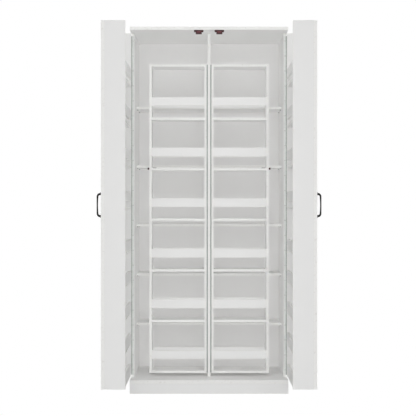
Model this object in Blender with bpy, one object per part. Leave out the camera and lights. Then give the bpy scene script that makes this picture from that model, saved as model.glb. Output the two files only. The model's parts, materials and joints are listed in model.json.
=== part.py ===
"""Pantry cabinet: a tall cupboard with two deep box doors and two swing-out racks.

Metres, +X to the right, +Y to the back, +Z up. The origin is on the floor, under the middle of
the whole object with its doors standing open at 90 degrees, which is how it is modelled.
Inside the cabinet, lengths along Y are counted from the front edges of its side panels."""

import math

import bmesh
import bpy
from mathutils import Matrix, Vector

# Driving dimensions
WIDTH = 0.800  # top panel and base
HEIGHT = 1.850
BODY_WIDTH = 0.790  # over the two side panels
BODY_DEPTH = 0.3657  # front edge of a side panel to its rear edge
OVERHANG = 0.101  # the top and the base reach this far forward, over and under the doors
THICK_BOARD = 0.016  # top, bottom and door faces
PARTITION_BOARD = 0.015
BOARD = 0.012  # sides, shelves, rails and plinth
BACK_SHEET = 0.003
PLINTH_HEIGHT = 0.052
GAP = 0.0003  # between boards that touch

SHELF_FRONT = 0.166
SHELF_CENTRES = (0.3234, 0.5842, 0.8449, 1.1554, 1.4651)

RACK_AXIS_X = 0.00955  # either side of the middle
RACK_AXIS_Y = 0.0154
RACK_FRONT = 0.018
RACK_DEPTH = 0.144
RACK_INNER_X = 0.0116
RACK_OUTER_X = 0.3078
RACK_BOTTOM = 0.086
RACK_TOP = 1.677
RACK_SHELF_PITCH = 0.2606
RACK_FIRST_SHELF = 0.354
RACK_SHELVES = 5
RACK_RAIL_LIFT = 0.066  # shelf's centre to its rail's lower edge
RAIL_HEIGHT = 0.045
RAIL_SETBACK = 0.0005  # a rail sits this far behind the edges of the side boards

DOOR_AXIS_X = 0.3972
DOOR_GAP = 0.003  # between the cabinet's front edges and a closed door
DOOR_DEPTH = 0.117
DOOR_BOTTOM = 0.071
DOOR_TOP = 1.831
DOOR_MIDDLE_GAP = 0.0015  # from the middle of the cabinet to a closed door's free edge
DOOR_OPEN_ANGLE = math.radians(90)
DOOR_LOW_CENTRE = 0.085  # the bottom board
DOOR_LOW_PITCH = 0.1595
DOOR_LOW_BOARDS = 5  # the bottom board and the four shelves above it
DOOR_HIGH_CENTRE = 0.935
DOOR_HIGH_PITCH = 0.208
DOOR_HIGH_SHELVES = 4
DOOR_RAIL_HEIGHT = 0.048
DOOR_RAIL_LIFT = 0.036  # on the upper shelves only, shelf's centre to rail's lower edge

BARREL_RADIUS = 0.0022
BORE_RADIUS = 0.0013
PIN_RADIUS = 0.0011
LEAF_THICKNESS = 0.0008
LEAF_WIDTH = 0.0118  # from the axis to the leaf's far edge
NOTCH = 0.0026  # a leaf keeps this far from the axis beside the other leaf's knuckles
KNUCKLES = 11
DOOR_HINGE_ENDS = (0.080, 1.818)
RACK_HINGE_ENDS = (0.089, 1.674)

HANDLE_CENTRE = 0.950
HANDLE_INSET = 0.040  # from the door's free edge
HANDLE_SPACING = 0.112  # between the feet
HANDLE_REACH = 0.021  # from the door to the middle of the bar
HANDLE_RADIUS = 0.003
HANDLE_BEND = 0.012

CATCH_EARS = 0.047
CATCH_BLOCK = 0.030
CATCH_DEPTH = 0.0153
CATCH_EAR_HEIGHT = 0.0095
CATCH_EAR_SETBACK = 0.0006
CATCH_WALL = 0.002
CATCH_HEIGHT = 0.020
RACK_CATCH_HEIGHT = 0.0105
RACK_CATCH_EAR_HEIGHT = 0.0095
CATCH_X = 0.052
RACK_CATCH_X = 0.3017
RACK_CATCH_SHELF = 3  # counted from the lowest shelf, which is 0
MAGNET_WIDTH = 0.021
MAGNET_HEIGHT = 0.010
RACK_MAGNET_HEIGHT = 0.0055
MAGNET_DEPTH = 0.008
MAGNET_PLAY = 0.0005
STRIKE_THICKNESS = 0.001

# Places worked out from them, along Y from the side panels' front edges
BACK_FACE = BODY_DEPTH + GAP + BACK_SHEET
DOOR_REACH = DOOR_GAP / 2 + DOOR_AXIS_X - DOOR_MIDDLE_GAP
CABINET_Y = (DOOR_REACH - BACK_FACE) / 2
TOP_UNDERSIDE = HEIGHT - THICK_BOARD
FLOOR_BOARD_TOP = PLINTH_HEIGHT + THICK_BOARD


def clear_scene():
    for obj in list(bpy.data.objects):
        bpy.data.objects.remove(obj, do_unlink=True)
    for collection in list(bpy.data.collections):
        bpy.data.collections.remove(collection)


def new_collection(name, parent):
    collection = bpy.data.collections.new(name)
    parent.children.link(collection)
    return collection


def finish_material(name, colour, roughness, metallic=0.0):
    material = bpy.data.materials.new(name)
    material.use_nodes = True
    shader = material.node_tree.nodes["Principled BSDF"]
    shader.inputs["Base Color"].default_value = (*colour, 1)
    shader.inputs["Roughness"].default_value = roughness
    shader.inputs["Metallic"].default_value = metallic
    return material


clear_scene()
SCENE_ROOT = bpy.context.scene.collection
CABINET = new_collection("pantry_cabinet", SCENE_ROOT)
CUTTERS = new_collection("cutters", SCENE_ROOT)

LAMINATE = finish_material("white_laminate", (0.80, 0.80, 0.79), 0.45)
HARDBOARD = finish_material("white_hardboard", (0.74, 0.74, 0.73), 0.6)
HINGE_STEEL = finish_material("hinge_steel", (0.42, 0.42, 0.43), 0.35, 1.0)
BLACK_METAL = finish_material("black_handle", (0.012, 0.012, 0.013), 0.4)
BROWN_PLASTIC = finish_material("brown_plastic", (0.055, 0.022, 0.018), 0.5)
PLATE_STEEL = finish_material("plate_steel", (0.55, 0.55, 0.56), 0.3, 1.0)


def empty(name, location, parent=None, angle=0.0):
    """A frame that parts hang on: a joint's axis runs through it along Z."""
    obj = bpy.data.objects.new(name, None)
    obj.location = location
    obj.rotation_euler.z = angle
    obj.parent = parent
    CABINET.objects.link(obj)
    return obj


def add_mesh(name, mesh, place, parent, material=None, collection=None):
    """One piece of the cabinet or, where it has a collection of its own, a cutter."""
    obj = bpy.data.objects.new(name, mesh)
    obj.location = place
    obj.parent = parent
    if collection is None:
        mesh.materials.append(material)
        CABINET.objects.link(obj)
    else:
        obj.hide_render = True
        obj.display_type = "WIRE"
        collection.objects.link(obj)
    return obj


def box(name, low, high, parent, material=None, collection=None):
    """A board between two corners given in its parent's frame."""
    low, high = Vector(low), Vector(high)
    bm = bmesh.new()
    bmesh.ops.create_cube(bm, size=1)
    bmesh.ops.scale(bm, vec=high - low, verts=bm.verts)
    mesh = bpy.data.meshes.new(name)
    bm.to_mesh(mesh)
    bm.free()
    return add_mesh(name, mesh, (low + high) / 2, parent, material, collection)


def span(first, second):
    return (min(first, second), max(first, second))


def rod(name, x, y, ends, radius, segments, parent, material=None, collection=None):
    """An upright cylinder between two heights."""
    bm = bmesh.new()
    bmesh.ops.create_cone(
        bm, cap_ends=True, segments=segments, radius1=radius, radius2=radius, depth=ends[1] - ends[0]
    )
    mesh = bpy.data.meshes.new(name)
    bm.to_mesh(mesh)
    bm.free()
    mesh.shade_smooth()
    mesh.set_sharp_from_angle(angle=math.radians(40))
    return add_mesh(name, mesh, (x, y, (ends[0] + ends[1]) / 2), parent, material, collection)


def mesh_of_curve(curve):
    """The closed mesh of a curve's bevel or extrusion: its loose caps are welded on, and faces
    that lie in one plane are made one."""
    holder = bpy.data.objects.new("holder", curve)
    SCENE_ROOT.objects.link(holder)
    graph = bpy.context.evaluated_depsgraph_get()
    mesh = bpy.data.meshes.new_from_object(holder.evaluated_get(graph))
    bpy.data.objects.remove(holder)
    bpy.data.curves.remove(curve)
    bm = bmesh.new()
    bm.from_mesh(mesh)
    bmesh.ops.remove_doubles(bm, verts=bm.verts, dist=0.000001)
    bmesh.ops.dissolve_limit(bm, angle_limit=0.001, verts=bm.verts, edges=bm.edges)
    bmesh.ops.recalc_face_normals(bm, faces=bm.faces)
    bm.to_mesh(mesh)
    bm.free()
    return mesh


def plate_mesh(outline, thickness):
    """A flat outline of (x, z) points, extruded by half its thickness to either side of y = 0."""
    curve = bpy.data.curves.new("outline", "CURVE")
    curve.dimensions = "2D"
    curve.fill_mode = "BOTH"
    curve.extrude = thickness / 2
    spline = curve.splines.new("POLY")
    spline.points.add(len(outline) - 1)
    for point, (x, z) in zip(spline.points, outline):
        point.co = (x, z, 0, 1)
    spline.use_cyclic_u = True
    mesh = mesh_of_curve(curve)
    mesh.transform(Matrix.Rotation(math.pi / 2, 4, "X"))
    return mesh


def boolean(obj, operation, collection):
    modifier = obj.modifiers.new(operation.lower(), "BOOLEAN")
    modifier.operation = operation
    modifier.solver = "EXACT"
    modifier.operand_type = "COLLECTION"
    modifier.collection = collection


# The cabinet's own boards


def carcass(body):
    half = WIDTH / 2
    side = BODY_WIDTH / 2
    top_low = (-half, -OVERHANG, TOP_UNDERSIDE)
    box("top_panel", top_low, (half, BODY_DEPTH, HEIGHT), body, LAMINATE)
    bottom_low = (-half, -OVERHANG, PLINTH_HEIGHT)
    box("bottom_panel", bottom_low, (half, BODY_DEPTH, FLOOR_BOARD_TOP), body, LAMINATE)
    base_top = PLINTH_HEIGHT - GAP
    front = -OVERHANG + BOARD
    rear = BODY_DEPTH - BOARD
    box("plinth_front", (-half, -OVERHANG, 0), (half, front, base_top), body, LAMINATE)
    box("plinth_rear", (-half, rear, 0), (half, BODY_DEPTH, base_top), body, LAMINATE)
    low = FLOOR_BOARD_TOP + GAP
    high = TOP_UNDERSIDE - GAP
    for name, sign in (("left", -1), ("right", 1)):
        x = span(sign * half, sign * (half - BOARD))
        ends = (front + GAP, rear - GAP)
        box(f"plinth_{name}", (x[0], ends[0], 0), (x[1], ends[1], base_top), body, LAMINATE)
        x = span(sign * side, sign * (side - BOARD))
        box(f"{name}_side", (x[0], 0, low), (x[1], BODY_DEPTH, high), body, LAMINATE)
    middle = PARTITION_BOARD / 2
    box("centre_partition", (-middle, RACK_FRONT, low), (middle, BODY_DEPTH, high), body, LAMINATE)
    sheet = side - 0.001
    back_low = (-sheet, BODY_DEPTH + GAP, PLINTH_HEIGHT + 0.002)
    box("back_panel", back_low, (sheet, BACK_FACE, HEIGHT - 0.002), body, HARDBOARD)


def fixed_shelves(body, name, sign):
    x = span(sign * (PARTITION_BOARD / 2 + GAP), sign * (BODY_WIDTH / 2 - BOARD - GAP))
    for number, centre in enumerate(SHELF_CENTRES, 1):
        low = (x[0], SHELF_FRONT, centre - BOARD / 2)
        high = (x[1], BODY_DEPTH - GAP, centre + BOARD / 2)
        box(f"{name}_shelf_{number}", low, high, body, LAMINATE)


# Piano hinges


def knuckle_spans(ends, turn):
    """The heights of every second knuckle, starting with the first or the second."""
    pitch = (ends[1] - ends[0]) / KNUCKLES
    starts = [ends[0] + pitch * count for count in range(turn, KNUCKLES, 2)]
    return [(start + GAP / 2, start + pitch - GAP / 2) for start in starts]


def leaf_outline(ends, spans):
    """A leaf with a tab at each of its knuckles, as distances from the axis and heights."""
    tab = BORE_RADIUS
    points = [(LEAF_WIDTH, ends[1]), (LEAF_WIDTH, ends[0])]
    height = ends[0]
    for low, high in spans:
        if low - height > GAP:
            points += [(NOTCH, height), (NOTCH, low)]
        points += [(tab, low), (tab, high)]
        height = high
    if ends[1] - height > GAP:
        points += [(NOTCH, height), (NOTCH, ends[1])]
    else:
        points[0] = (LEAF_WIDTH, height)
    if spans[0][0] - ends[0] <= GAP:
        points[1] = (LEAF_WIDTH, spans[0][0])
    return points


def hinge_leaf(name, ends, turn, offset, direction, parent):
    """One leaf and its knuckles round the Z axis of its parent. The leaf runs along the
    direction, a plan angle, and its middle plane lies the offset to the left of the axis."""
    spans = knuckle_spans(ends, turn)
    turned = Matrix.Rotation(direction, 4, "Z")
    mesh = plate_mesh(leaf_outline(ends, spans), LEAF_THICKNESS)
    mesh.transform(turned @ Matrix.Translation((0, offset, 0)))
    leaf = add_mesh(name, mesh, (0, 0, 0), parent, HINGE_STEEL)
    knuckles = new_collection(f"{name}_knuckles", CUTTERS)
    for number, heights in enumerate(spans, 1):
        label = f"{name}_knuckle_{number}"
        rod(label, 0, 0, heights, BARREL_RADIUS, 12, parent, collection=knuckles)
    boolean(leaf, "UNION", knuckles)
    bore = new_collection(f"{name}_bore", CUTTERS)
    long_ends = (ends[0] - 0.01, ends[1] + 0.01)
    rod(f"{name}_bore_cutter", 0, 0, long_ends, BORE_RADIUS, 12, parent, collection=bore)
    boolean(leaf, "DIFFERENCE", bore)


def hinge_pin(name, ends, parent):
    rod(name, 0, 0, ends, PIN_RADIUS, 12, parent, HINGE_STEEL)


# Deep doors, modelled closed in the frame of their hinge and then turned open


def door_box(sign, name, u, v, z, parent, material=None, collection=None):
    """A board of a door: u runs from the hinge axis across the door, v from the door's open
    rear plane to its face."""
    x = span(-sign * u[0], -sign * u[1])
    forward = DOOR_GAP / 2
    low = (x[0], -(forward + v[1]), z[0])
    high = (x[1], -(forward + v[0]), z[1])
    return box(name, low, high, parent, material, collection)


def door_tiers():
    """(board's centre, its rail's lower edge) for the bottom board and each door shelf."""
    tiers = []
    for count in range(DOOR_LOW_BOARDS):
        centre = DOOR_LOW_CENTRE + DOOR_LOW_PITCH * count
        tiers.append((centre, centre))
    for count in range(DOOR_HIGH_SHELVES):
        centre = DOOR_HIGH_CENTRE + DOOR_HIGH_PITCH * count
        tiers.append((centre, centre + DOOR_RAIL_LIFT))
    return tiers


def door(name, sign, hinge):
    near = DOOR_AXIS_X - BODY_WIDTH / 2
    free = DOOR_AXIS_X - DOOR_MIDDLE_GAP
    heights = (DOOR_BOTTOM, DOOR_TOP)
    face_back = DOOR_DEPTH - THICK_BOARD
    depth = (0, face_back - GAP)
    face = (face_back, DOOR_DEPTH)
    door_box(sign, f"{name}_door_face", (near, free), face, heights, hinge, LAMINATE)
    hinge_side = (near, near + BOARD)
    door_box(sign, f"{name}_door_hinge_side", hinge_side, depth, heights, hinge, LAMINATE)
    free_side = (free - BOARD, free)
    frame_name = f"{name}_door_shelf_frame"
    frame = door_box(sign, frame_name, free_side, depth, heights, hinge, LAMINATE)
    shelves = new_collection(f"{frame_name}_shelves", CUTTERS)
    across = (near + BOARD + GAP, free - BOARD / 2)
    shelf_depth = (2 * RAIL_SETBACK, face_back - 2 * GAP)
    rail_depth = (RAIL_SETBACK, RAIL_SETBACK + BOARD)
    for number, (centre, rail) in enumerate(door_tiers()):
        shelf = (centre - BOARD / 2, centre + BOARD / 2)
        label = f"{frame_name}_shelf_{number}"
        door_box(sign, label, across, shelf_depth, shelf, hinge, collection=shelves)
        low_rail = rail == centre
        rail_top = centre + BOARD / 2 + DOOR_RAIL_HEIGHT if low_rail else rail + DOOR_RAIL_HEIGHT
        label = f"{frame_name}_rail_{number}"
        door_box(sign, label, across, rail_depth, (rail, rail_top), hinge, collection=shelves)
    boolean(frame, "UNION", shelves)
    handle(name, sign, hinge, free - HANDLE_INSET)
    strike_x = DOOR_AXIS_X - CATCH_X
    strike_z = TOP_UNDERSIDE - GAP - CATCH_HEIGHT / 2
    half = (MAGNET_WIDTH / 2, MAGNET_HEIGHT / 2)
    u = (strike_x - half[0], strike_x + half[0])
    v = (face_back - GAP - STRIKE_THICKNESS, face_back - GAP)
    z = (strike_z - half[1], strike_z + half[1])
    door_box(sign, f"{name}_door_strike", u, v, z, hinge, PLATE_STEEL)


def handle_route():
    """Half of the bow, as (distance from the door, height over its centre): a foot straight out
    of the door, a leg leaning inwards, and a round bend into the upright grip."""
    foot = HANDLE_SPACING / 2
    points = [(GAP, foot, 1.7), (0.002, foot, 1.6), (0.006, foot - 0.0008, 1.15)]
    centre = (HANDLE_REACH - HANDLE_BEND, foot - 0.003 - HANDLE_BEND)
    for step in range(6):
        angle = math.radians(75 - 15 * step)
        out = centre[0] + HANDLE_BEND * math.cos(angle)
        height = centre[1] + HANDLE_BEND * math.sin(angle)
        points.append((out, height, 1.0))
    return points


def handle(name, sign, hinge, u):
    upper = handle_route()
    route = upper + [(out, -height, size) for out, height, size in reversed(upper)]
    curve = bpy.data.curves.new(f"{name}_door_handle", "CURVE")
    curve.dimensions = "3D"
    curve.bevel_depth = HANDLE_RADIUS
    curve.bevel_resolution = 4
    curve.use_fill_caps = True
    spline = curve.splines.new("POLY")
    spline.points.add(len(route) - 1)
    for point, (out, height, size) in zip(spline.points, route):
        point.co = (0, -out, height, 1)
        point.radius = size
    mesh = mesh_of_curve(curve)
    mesh.shade_smooth()
    mesh.set_sharp_from_angle(angle=math.radians(40))
    place = (-sign * u, -(DOOR_GAP / 2 + DOOR_DEPTH), HANDLE_CENTRE)
    add_mesh(f"{name}_door_handle", mesh, place, hinge, BLACK_METAL)


# Swing-out racks, open at the front and the back, in the frame of their hinge


def rack_box(sign, name, x, y, z, parent, material=None, collection=None):
    """A board of a rack: x from the middle of the cabinet, y from its side panels' front edges."""
    across = span(sign * (x[0] - RACK_AXIS_X), sign * (x[1] - RACK_AXIS_X))
    low = (across[0], y[0] - RACK_AXIS_Y, z[0])
    high = (across[1], y[1] - RACK_AXIS_Y, z[1])
    return box(name, low, high, parent, material, collection)


def rack(name, sign, hinge):
    depth = (RACK_FRONT, RACK_FRONT + RACK_DEPTH)
    heights = (RACK_BOTTOM, RACK_TOP)
    hinge_side = (RACK_INNER_X, RACK_INNER_X + BOARD)
    free_side = (RACK_OUTER_X - BOARD, RACK_OUTER_X)
    rack_box(sign, f"{name}_rack_hinge_side", hinge_side, depth, heights, hinge, LAMINATE)
    between = (hinge_side[1] + GAP, free_side[0] - GAP)
    inner = (depth[0] + RAIL_SETBACK, depth[1] - RAIL_SETBACK)
    bottom = (RACK_BOTTOM, RACK_BOTTOM + BOARD)
    rack_box(sign, f"{name}_rack_bottom", between, inner, bottom, hinge, LAMINATE)
    top = (RACK_TOP - BOARD, RACK_TOP)
    rack_box(sign, f"{name}_rack_top", between, inner, top, hinge, LAMINATE)
    frame_name = f"{name}_rack_shelf_frame"
    frame = rack_box(sign, frame_name, free_side, depth, heights, hinge, LAMINATE)
    shelves = new_collection(f"{frame_name}_shelves", CUTTERS)
    across = (between[0], free_side[0] + BOARD / 2)
    rails = ((inner[0], inner[0] + BOARD), (inner[1] - BOARD, inner[1]))
    for number in range(RACK_SHELVES + 1):
        if number:
            centre = RACK_FIRST_SHELF + RACK_SHELF_PITCH * (number - 1)
            shelf = (centre - BOARD / 2, centre + BOARD / 2)
            label = f"{frame_name}_shelf_{number}"
            rack_box(sign, label, across, inner, shelf, hinge, collection=shelves)
        else:
            centre = RACK_BOTTOM + BOARD / 2
        low = centre + RACK_RAIL_LIFT
        for where, rail in zip(("front", "rear"), rails):
            label = f"{frame_name}_{where}_rail_{number}"
            high = low + RAIL_HEIGHT
            rack_box(sign, label, across, rail, (low, high), hinge, collection=shelves)
    boolean(frame, "UNION", shelves)
    strike_z = SHELF_CENTRES[RACK_CATCH_SHELF] - BOARD / 2 - GAP - RACK_CATCH_HEIGHT / 2
    x = (free_side[0] + 0.001, free_side[1] - 0.001)
    y = (depth[1] + GAP, depth[1] + GAP + STRIKE_THICKNESS)
    z = (strike_z - 0.012, strike_z + 0.012)
    rack_box(sign, f"{name}_rack_strike", x, y, z, hinge, PLATE_STEEL)


# Magnetic catches


def catch(name, x, front, top, height, ear_height, magnet_height, parent):
    """A moulded block that opens forwards, with an ear at either end for a screw, and the magnet
    that floats in its pocket."""
    rear = front + CATCH_DEPTH
    half = CATCH_BLOCK / 2
    low = (x - half, front, top - height)
    housing = box(name, low, (x + half, rear, top - GAP), parent, BROWN_PLASTIC)
    ears = new_collection(f"{name}_ears", CUTTERS)
    half = CATCH_EARS / 2
    low = (x - half, front + CATCH_EAR_SETBACK, top - ear_height)
    high = (x + half, rear - CATCH_EAR_SETBACK, top)
    box(f"{name}_ear_bar", low, high, parent, collection=ears)
    boolean(housing, "UNION", ears)
    pocket = new_collection(f"{name}_pocket", CUTTERS)
    half = (MAGNET_WIDTH / 2, magnet_height / 2)
    centre = top - GAP - CATCH_WALL - half[1] if height < CATCH_HEIGHT else top - height / 2
    inside = front + MAGNET_DEPTH
    low = (x - half[0] - GAP, front - 0.005, centre - half[1] - GAP)
    high = (x + half[0] + GAP, inside + GAP + MAGNET_PLAY, centre + half[1] + GAP)
    box(f"{name}_pocket_cutter", low, high, parent, collection=pocket)
    boolean(housing, "DIFFERENCE", pocket)
    low = (x - half[0], front, centre - half[1])
    high = (x + half[0], inside, centre + half[1])
    box(f"{name}_magnet", low, high, parent, PLATE_STEEL)


def side_parts(name, sign, body):
    """Everything that the left and the right half have alike."""
    fixed_shelves(body, name, sign)

    axis = (sign * DOOR_AXIS_X, -DOOR_GAP / 2, 0)
    fixed = empty(f"{name}_door_axis", axis, body)
    moving = empty(f"{name}_door_hinge", axis, body, sign * DOOR_OPEN_ANGLE)
    leaf_offset = DOOR_GAP / 2 - GAP - LEAF_THICKNESS / 2
    inwards = math.pi if sign > 0 else 0
    label = f"{name}_door_hinge"
    hinge_leaf(f"{label}_fixed_leaf", DOOR_HINGE_ENDS, 0, -sign * leaf_offset, inwards, fixed)
    hinge_leaf(f"{label}_moving_leaf", DOOR_HINGE_ENDS, 1, sign * leaf_offset, inwards, moving)
    hinge_pin(f"{label}_pin", DOOR_HINGE_ENDS, fixed)
    door(name, sign, moving)

    axis = (sign * RACK_AXIS_X, RACK_AXIS_Y, 0)
    fixed = empty(f"{name}_rack_axis", axis, body)
    moving = empty(f"{name}_rack_hinge", axis, body)
    leaf_offset = RACK_AXIS_X - PARTITION_BOARD / 2 - GAP - LEAF_THICKNESS / 2
    label = f"{name}_rack_hinge"
    back = math.pi / 2
    hinge_leaf(f"{label}_fixed_leaf", RACK_HINGE_ENDS, 0, sign * leaf_offset, back, fixed)
    hinge_leaf(f"{label}_moving_leaf", RACK_HINGE_ENDS, 1, -sign * leaf_offset, back, moving)
    hinge_pin(f"{label}_pin", RACK_HINGE_ENDS, fixed)
    rack(name, sign, moving)

    top = TOP_UNDERSIDE - GAP
    door_catch = (CATCH_HEIGHT, CATCH_EAR_HEIGHT, MAGNET_HEIGHT)
    front = -OVERHANG - GAP
    catch(f"{name}_door_catch", sign * CATCH_X, front, top, *door_catch, body)
    top = SHELF_CENTRES[RACK_CATCH_SHELF] - BOARD / 2 - GAP
    rack_catch = (RACK_CATCH_HEIGHT, RACK_CATCH_EAR_HEIGHT, RACK_MAGNET_HEIGHT)
    front = SHELF_FRONT - 0.0015
    catch(f"{name}_rack_catch", sign * RACK_CATCH_X, front, top, *rack_catch, body)


def main():
    body = empty("cabinet_frame", (0, CABINET_Y, 0))
    carcass(body)
    side_parts("left", -1, body)
    side_parts("right", 1, body)


main()
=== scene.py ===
"""Pantry cabinet: the looks of a tall white cupboard with two deep box doors and two swing-out racks.

Metres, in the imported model's frame: +X to the right, +Y to the back, +Z up. The doors stand open at
90 degrees. Every board, hinge, catch and screw is its own surface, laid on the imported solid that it
stands for. Left and right are alike, so most functions take a name and a sign (left is -1)."""

import json
import math

import bmesh
import bpy
import numpy as np
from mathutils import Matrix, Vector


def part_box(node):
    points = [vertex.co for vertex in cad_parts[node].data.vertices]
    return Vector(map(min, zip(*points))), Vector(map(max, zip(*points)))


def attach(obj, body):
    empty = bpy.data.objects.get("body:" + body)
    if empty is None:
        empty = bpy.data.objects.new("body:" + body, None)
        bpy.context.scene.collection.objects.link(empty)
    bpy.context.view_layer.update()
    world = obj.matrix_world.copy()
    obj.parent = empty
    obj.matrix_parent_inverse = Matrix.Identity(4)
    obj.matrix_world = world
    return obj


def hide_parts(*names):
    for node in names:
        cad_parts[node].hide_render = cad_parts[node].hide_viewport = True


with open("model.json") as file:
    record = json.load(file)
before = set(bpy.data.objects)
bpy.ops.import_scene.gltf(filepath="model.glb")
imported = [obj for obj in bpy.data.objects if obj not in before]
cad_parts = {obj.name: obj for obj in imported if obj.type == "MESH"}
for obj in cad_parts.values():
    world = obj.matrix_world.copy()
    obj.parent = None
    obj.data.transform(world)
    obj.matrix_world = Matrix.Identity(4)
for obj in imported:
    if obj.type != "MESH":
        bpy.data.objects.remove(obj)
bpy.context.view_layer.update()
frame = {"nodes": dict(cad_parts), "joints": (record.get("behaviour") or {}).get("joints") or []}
JOINTS = {joint["name"]: joint for joint in frame["joints"]}
SIDES = (("left", -1), ("right", 1))
X, Y, Z = np.eye(3)
MM = 0.001

# Board making
BOARD = 12 * MM  # sides, shelves and rails
EDGING = 1.0 * MM  # thickness of the edge band, seen as a rim on a board's face
GLUE_LINE = 0.3 * MM  # hairline between the band and the laminate
EASED = 0.55 * MM  # radius on every edge
EASING_STEPS = 3
FACE_CORNER = 0.4 * MM  # radius at the corners of the laminate's own outline
SHEET_EASING = 0.4 * MM  # the back panel's
GAP = 0.3 * MM  # between parts that touch

# Door boxes
RAIL_SETBACK = 0.5 * MM
DOOR_LOW_CENTRE = 85 * MM  # the bottom board
DOOR_LOW_PITCH = 159.5 * MM
DOOR_LOW_BOARDS = 5
DOOR_HIGH_CENTRE = 935 * MM
DOOR_HIGH_PITCH = 208 * MM
DOOR_HIGH_SHELVES = 4
DOOR_RAIL_HEIGHT = 48 * MM
DOOR_RAIL_LIFT = 36 * MM  # upper shelves only, shelf's centre to its rail's lower edge

# Racks
RACK_FIRST_SHELF = 354 * MM
RACK_SHELF_PITCH = 260.6 * MM
RACK_SHELVES = 5
RACK_RAIL_LIFT = 66 * MM
RACK_RAIL_HEIGHT = 45 * MM

# Fixed shelves
FIXED_SHELVES = range(1, 6)

# Piano hinges
BARREL_RADIUS = 2.2 * MM
BORE_RADIUS = 1.3 * MM
LEAF_THICKNESS = 0.8 * MM
LEAF_REACH = 11.8 * MM  # from the axis to the leaf's far edge
LEAF_NOTCH = 2.6 * MM  # from the axis to the leaf beside the other leaf's knuckles
LEAF_NECK = 1.5 * MM
KNUCKLE_PITCH = 12.5 * MM
KNUCKLE_SIDES = 12
HINGE_SCREW_PITCH = 75 * MM
HINGE_SCREW_LINE = 7.3 * MM  # from the axis
HINGE_SCREW_MARGIN = 25 * MM  # from either end
KNUCKLE_CLEARANCE = 0.15 * MM  # at either end of a knuckle
DOOR_LEAF_OFFSET = 0.8 * MM  # from the axis to a leaf's middle plane
RACK_LEAF_OFFSET = 1.35 * MM
LEAF_EASING = 0.15 * MM
NECK_OVERLAP = 0.5 * MM  # of a knuckle's neck and its leaf

# Screws, caps and nails, as head radius and height of the dome, and shelf pins
HINGE_SCREW = (2.7 * MM, 0.18 * MM)
CATCH_SCREW = (3.0 * MM, 1.4 * MM)
HANDLE_SCREW = (4.2 * MM, 1.7 * MM)
STRIKE_SCREW = (2.4 * MM, 0.15 * MM)
CAP = (6.5 * MM, 0.7 * MM)
NAIL = (1.6 * MM, 0.4 * MM)
NAIL_PITCH = 120 * MM
NAIL_INSET = 6 * MM
CAP_INSET = 40 * MM
CAP_SIDES = 24
SHELF_PIN_SIDES = 16
SHELF_PIN_RADIUS = 2.5 * MM
SHELF_PIN_LENGTH = 8.0 * MM
SHELF_PIN_CHAMFER = 0.4 * MM
SHELF_PIN_INSET = 30 * MM

# Magnetic catches
CATCH_EASING = 0.7 * MM
POLE_PLATE = 1.2 * MM  # thickness
POLE_EASING = 0.2 * MM
POLE_LEAD = 0.5 * MM  # a pole plate stands this much further forward than the block
BLOCK_OVERLAP = 0.1 * MM  # of the block and a pole plate
STRIKE_EASING = 0.25 * MM
EAR_HEIGHT = 9.5 * MM  # from a catch's top to the underside of its ears
EAR_CENTRE = 4.2 * MM  # from a catch's end to the screw


# Surfaces. A patch is (points, faces, inks): faces are rows of point numbers, and an ink is a
# face's place in the piece's list of materials.


def shell(grid, ink=0, cap_ink=None):
    """A closed skin over a grid whose rows are rings, each anticlockwise seen from the last ring's
    end: a quad joins each point to the next on its ring and to those above, and a flat face closes
    either end. ink is one number or an array with one for each quad."""
    rows, columns = grid.shape[:2]
    number = np.arange(rows * columns).reshape(rows, columns)
    ahead = np.roll(number, -1, axis=1)
    quads = np.stack([number[:-1], ahead[:-1], ahead[1:], number[1:]], axis=-1)
    inks = np.broadcast_to(ink, (rows - 1, columns)).ravel().tolist()
    faces = quads.reshape(-1, 4).tolist() + [number[0, ::-1].tolist(), number[-1].tolist()]
    caps = [inks[0] if cap_ink is None else cap_ink] * 2
    return grid.reshape(-1, 3), faces, inks + caps


def joined(patches):
    """Several patches as one, with each one's faces moved on to its own points."""
    points, faces, inks = [], [], []
    start = 0
    for patch_points, patch_faces, patch_inks in patches:
        points.append(patch_points)
        faces += [[number + start for number in face] for face in patch_faces]
        inks += patch_inks
        start += len(patch_points)
    return np.concatenate(points), faces, inks


SHARP_ANGLE = math.radians(40)


def piece(name, patch, materials, body, stands_for=(), normals=None):
    """One object made of a patch, riding on a body. Given normals are exact ones, one a point;
    otherwise edges over 40 degrees are sharp."""
    points, faces, inks = patch
    mesh = bpy.data.meshes.new(name)
    mesh.from_pydata(points.tolist(), [], faces)
    mesh.polygons.foreach_set("material_index", inks)
    for material in materials:
        mesh.materials.append(material)
    mesh.shade_smooth()
    if normals is None:
        mesh.set_sharp_from_angle(angle=SHARP_ANGLE)
    else:
        mesh.normals_split_custom_set_from_vertices(normals.reshape(-1, 3).tolist())
    obj = bpy.data.objects.new(name, mesh)
    bpy.context.scene.collection.objects.link(obj)
    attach(obj, body)
    if stands_for:
        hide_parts(*stands_for)


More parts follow.
